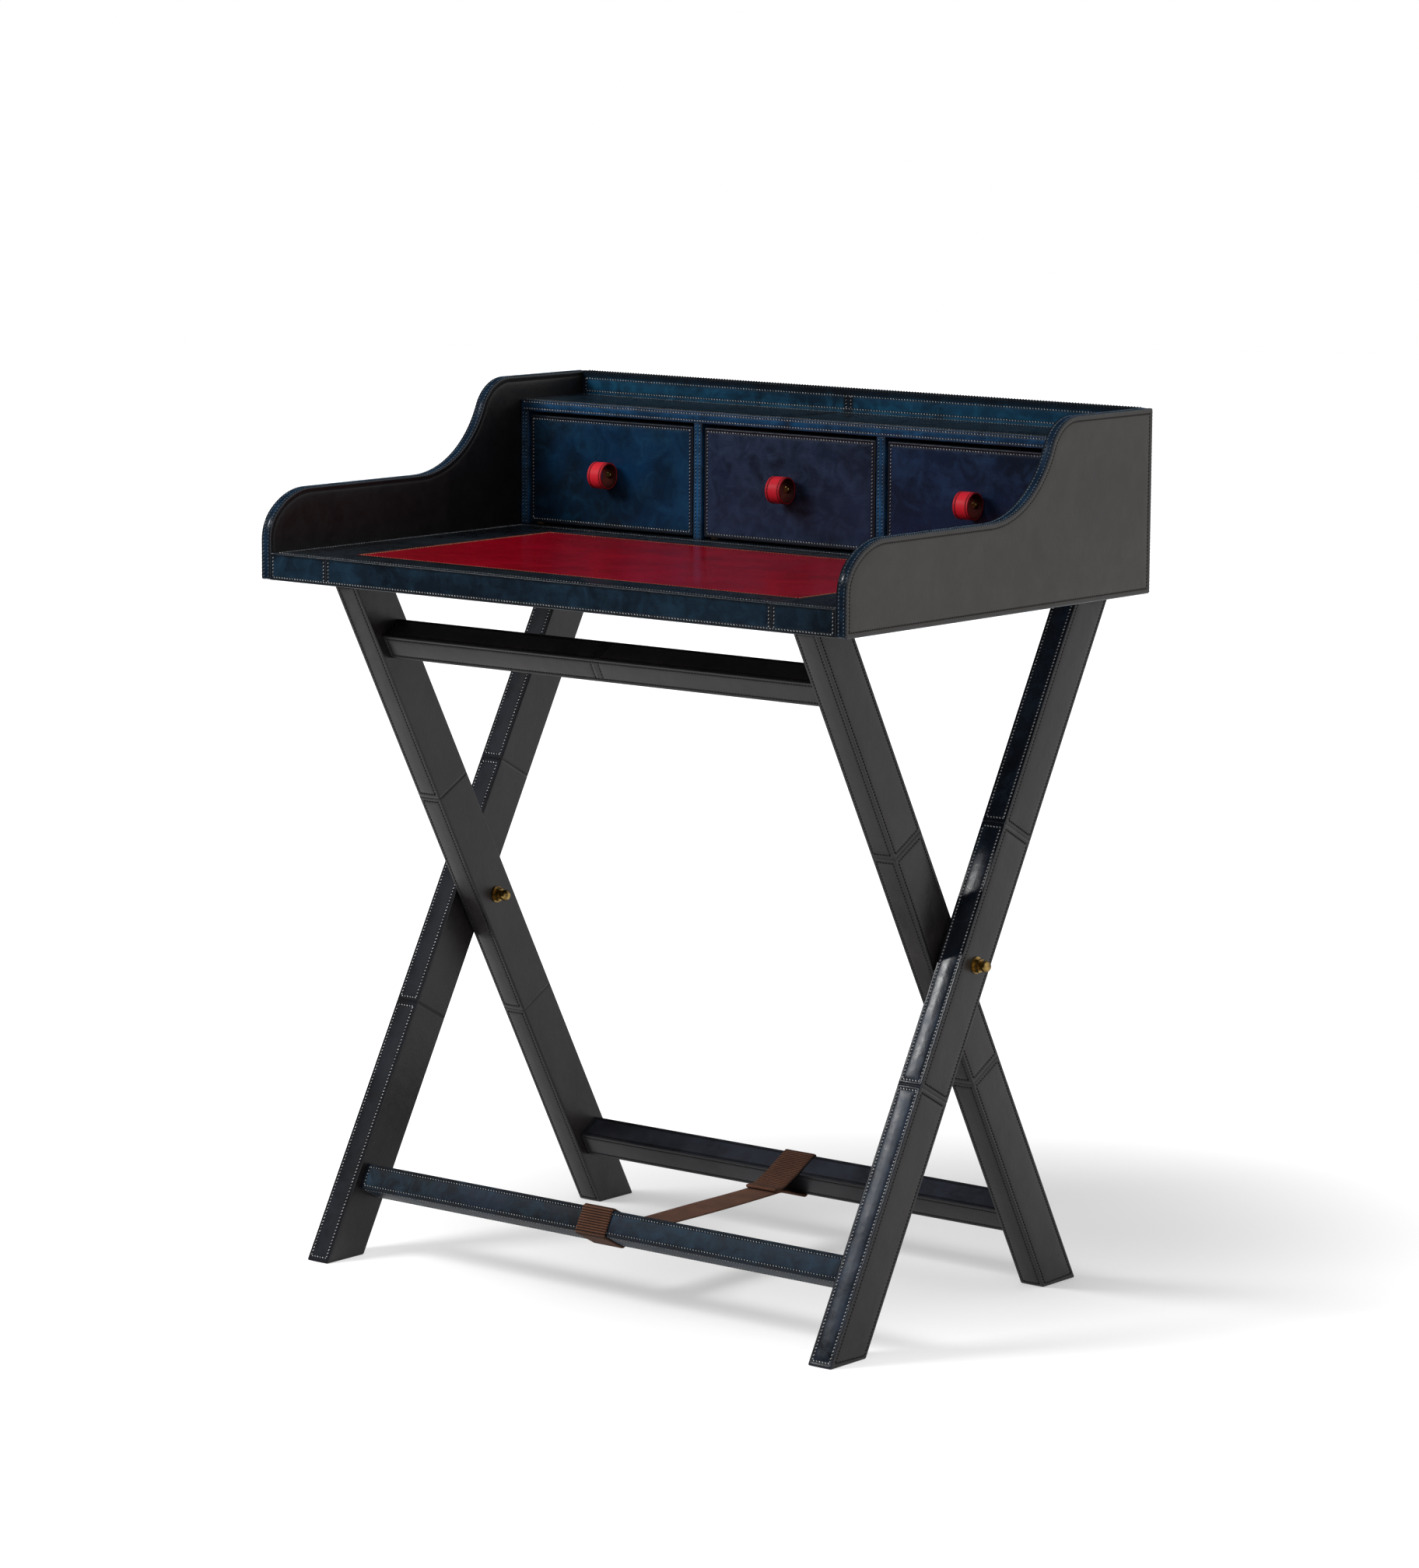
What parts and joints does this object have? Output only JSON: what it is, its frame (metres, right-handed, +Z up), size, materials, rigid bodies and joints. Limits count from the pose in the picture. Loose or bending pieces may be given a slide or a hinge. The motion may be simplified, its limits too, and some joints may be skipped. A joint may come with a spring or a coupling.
{
  "type": "folding writing desk",
  "caption": "Leather-covered campaign writing desk: tray top with curved sides and small drawers on a folding X trestle with a webbing strap",
  "frame": {"origin": "on the floor, under the middle of the tray", "axes": "+X to the right of the person who sits at the desk, +Y to the back, +Z up"},
  "size_m": [0.77, 0.516, 0.9225],
  "materials": {
    "leather_tray": "hand-stained midnight blue, satin",
    "leather_drawer": "dark navy, satin",
    "leather_trestle": "charcoal, satin",
    "leather_inlay": "deep red, polished",
    "leather_pull": "red, satin",
    "wood": "sanded",
    "brass": "aged",
    "webbing": "ribbed brown webbing"
  },
  "bodies": {
    "outer_frame": {"leg_outer_left": "leather_trestle", "leg_outer_right": "leather_trestle", "leg_outer_core_left": "wood", "leg_outer_core_right": "wood", "stretcher_front": "leather_trestle", "stretcher_front_core": "wood", "pivot_bolts": "brass", "pivot_washers": "brass", "pivot_spacers": "brass", "pivot_cap_nuts": "brass", "locating_pins": "brass", "strap_loop_front": "webbing", "strap_span": "webbing"},
    "inner_frame": {"leg_inner_left": "leather_trestle", "leg_inner_right": "leather_trestle", "leg_inner_core_left": "wood", "leg_inner_core_right": "wood", "stretcher_back": "leather_trestle", "stretcher_back_core": "wood", "stretcher_top": "leather_trestle", "stretcher_top_core": "wood", "pivot_bushes": "brass", "strap_loop_back": "webbing"},
    "tray": {"desktop": "leather_tray", "desktop_core": "wood", "writing_inlay": "leather_inlay", "tray_dowels": "wood", "side_panel_left": "leather_tray", "side_panel_right": "leather_tray", "side_panel_core_left": "wood", "side_panel_core_right": "wood", "back_panel": "leather_tray", "back_panel_core": "wood", "shelf": "leather_tray", "case_end_left": "leather_tray", "case_end_right": "leather_tray", "divider_left": "leather_tray", "divider_right": "leather_tray"},
    "drawer_left": {"drawer_front_left": "leather_drawer", "drawer_side_a_left": "wood", "drawer_side_b_left": "wood", "drawer_back_left": "wood", "drawer_bottom_left": "wood", "pull_loop_left": "leather_pull", "pull_screw_left": "brass"},
    "drawer_middle": {"drawer_front_middle": "leather_drawer", "drawer_side_a_middle": "wood", "drawer_side_b_middle": "wood", "drawer_back_middle": "wood", "drawer_bottom_middle": "wood", "pull_loop_middle": "leather_pull", "pull_screw_middle": "brass"},
    "drawer_right": {"drawer_front_right": "leather_drawer", "drawer_side_a_right": "wood", "drawer_side_b_right": "wood", "drawer_back_right": "wood", "drawer_bottom_right": "wood", "pull_loop_right": "leather_pull", "pull_screw_right": "brass"}
  },
  "joints": [
    {"name": "fold", "type": "hinge", "parent": "outer_frame", "child": "inner_frame", "pos_m": [0, 0.0055, 0.373], "axis": [-1, 0, 0], "range_deg": [0, 49.5], "deforming": ["strap_span"]},
    {"name": "tray_lift", "type": "slide", "parent": "outer_frame", "child": "tray", "axis": [0, 0, 1], "range_m": [0, 0.22]},
    {"name": "drawer_left_slide", "type": "slide", "parent": "tray", "child": "drawer_left", "axis": [0, -1, 0], "range_m": [0, 0.075]},
    {"name": "drawer_middle_slide", "type": "slide", "parent": "tray", "child": "drawer_middle", "axis": [0, -1, 0], "range_m": [0, 0.075]},
    {"name": "drawer_right_slide", "type": "slide", "parent": "tray", "child": "drawer_right", "axis": [0, -1, 0], "range_m": [0, 0.075]}
  ],
  "couplings": [
    {"joint": "tray_lift", "follows": "fold", "m_per_rad": 0.25}
  ]
}
